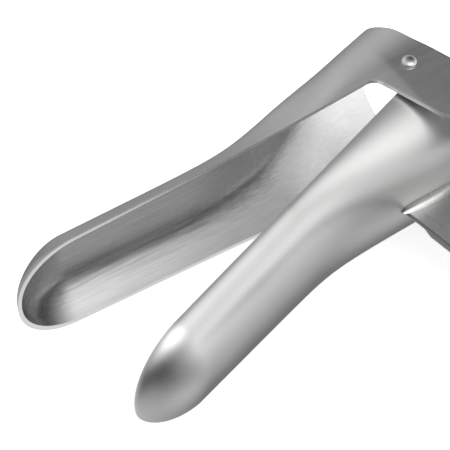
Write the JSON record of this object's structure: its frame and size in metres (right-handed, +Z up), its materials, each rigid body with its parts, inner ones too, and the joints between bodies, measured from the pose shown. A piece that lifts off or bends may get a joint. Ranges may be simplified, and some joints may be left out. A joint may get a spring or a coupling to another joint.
{
  "type": "vaginal speculum",
  "caption": "Bivalve speculum: two trough-shaped steel blades hinged at the mouth by side rivets, with a flat lower handle, a slotted front lever and a screw rod with knurled nut.",
  "frame": {"origin": "centre of the bounding box's bottom face, on the table the instrument lies on", "axes": "+X along the lower blade towards the user, +Y towards the upper blade, +Z up; the instrument lies on its far side"},
  "size_m": [0.1426, 0.134, 0.0419],
  "materials": {
    "blade_steel": "satin, finely scratched",
    "handle_steel": "satin, brushed across",
    "rivet_steel": "polished heads",
    "washer_steel": "satin",
    "screw_steel": "turned and polished",
    "braze": "filed and polished bead"
  },
  "bodies": {
    "lower_body": {"lower_blade": "blade_steel", "handle_fin": "handle_steel", "braze_bead_near": "braze", "braze_bead_far": "braze", "finger_grip": "handle_steel", "fork_pin": "rivet_steel", "pivot_rivet_near": "rivet_steel", "pivot_rivet_far": "rivet_steel", "pivot_washer_near": "washer_steel", "pivot_washer_far": "washer_steel"},
    "upper_body": {"upper_blade": "blade_steel", "front_lever": "handle_steel", "lever_rivet_near_1": "rivet_steel", "lever_rivet_near_2": "rivet_steel", "lever_rivet_far_1": "rivet_steel", "lever_rivet_far_2": "rivet_steel"},
    "rod": {"screw_rod": "screw_steel", "rod_end_stop": "screw_steel"},
    "washer": {"nut_washer": "washer_steel"},
    "nut": {"knurled_nut": "screw_steel"}
  },
  "joints": [
    {"name": "blade_open", "type": "hinge", "parent": "lower_body", "child": "upper_body", "pos_m": [0.02652, 0.03027, 0.02095], "axis": [0.0739, 0.0097, -0.9972], "range_deg": [-20, 8]},
    {"name": "rod_swing", "type": "hinge", "parent": "lower_body", "child": "rod", "pos_m": [0.00961, -0.0297, 0.01855], "axis": [0.0739, 0.0097, -0.9972], "range_deg": [-20.2, 8.2]},
    {"name": "washer_slide", "type": "slide", "parent": "rod", "child": "washer", "axis": [0.9968, 0.0307, 0.0742], "range_m": [-0.0085, 0.0212]},
    {"name": "nut_spin", "type": "hinge", "parent": "washer", "child": "nut", "pos_m": [0.03819, -0.02882, 0.02068], "axis": [0.9968, 0.0307, 0.0742], "continuous": true}
  ],
  "couplings": [
    {"joint": "rod_swing", "follows": "blade_open", "ratio": 1},
    {"joint": "washer_slide", "follows": "blade_open", "m_per_rad": -0.0585}
  ]
}
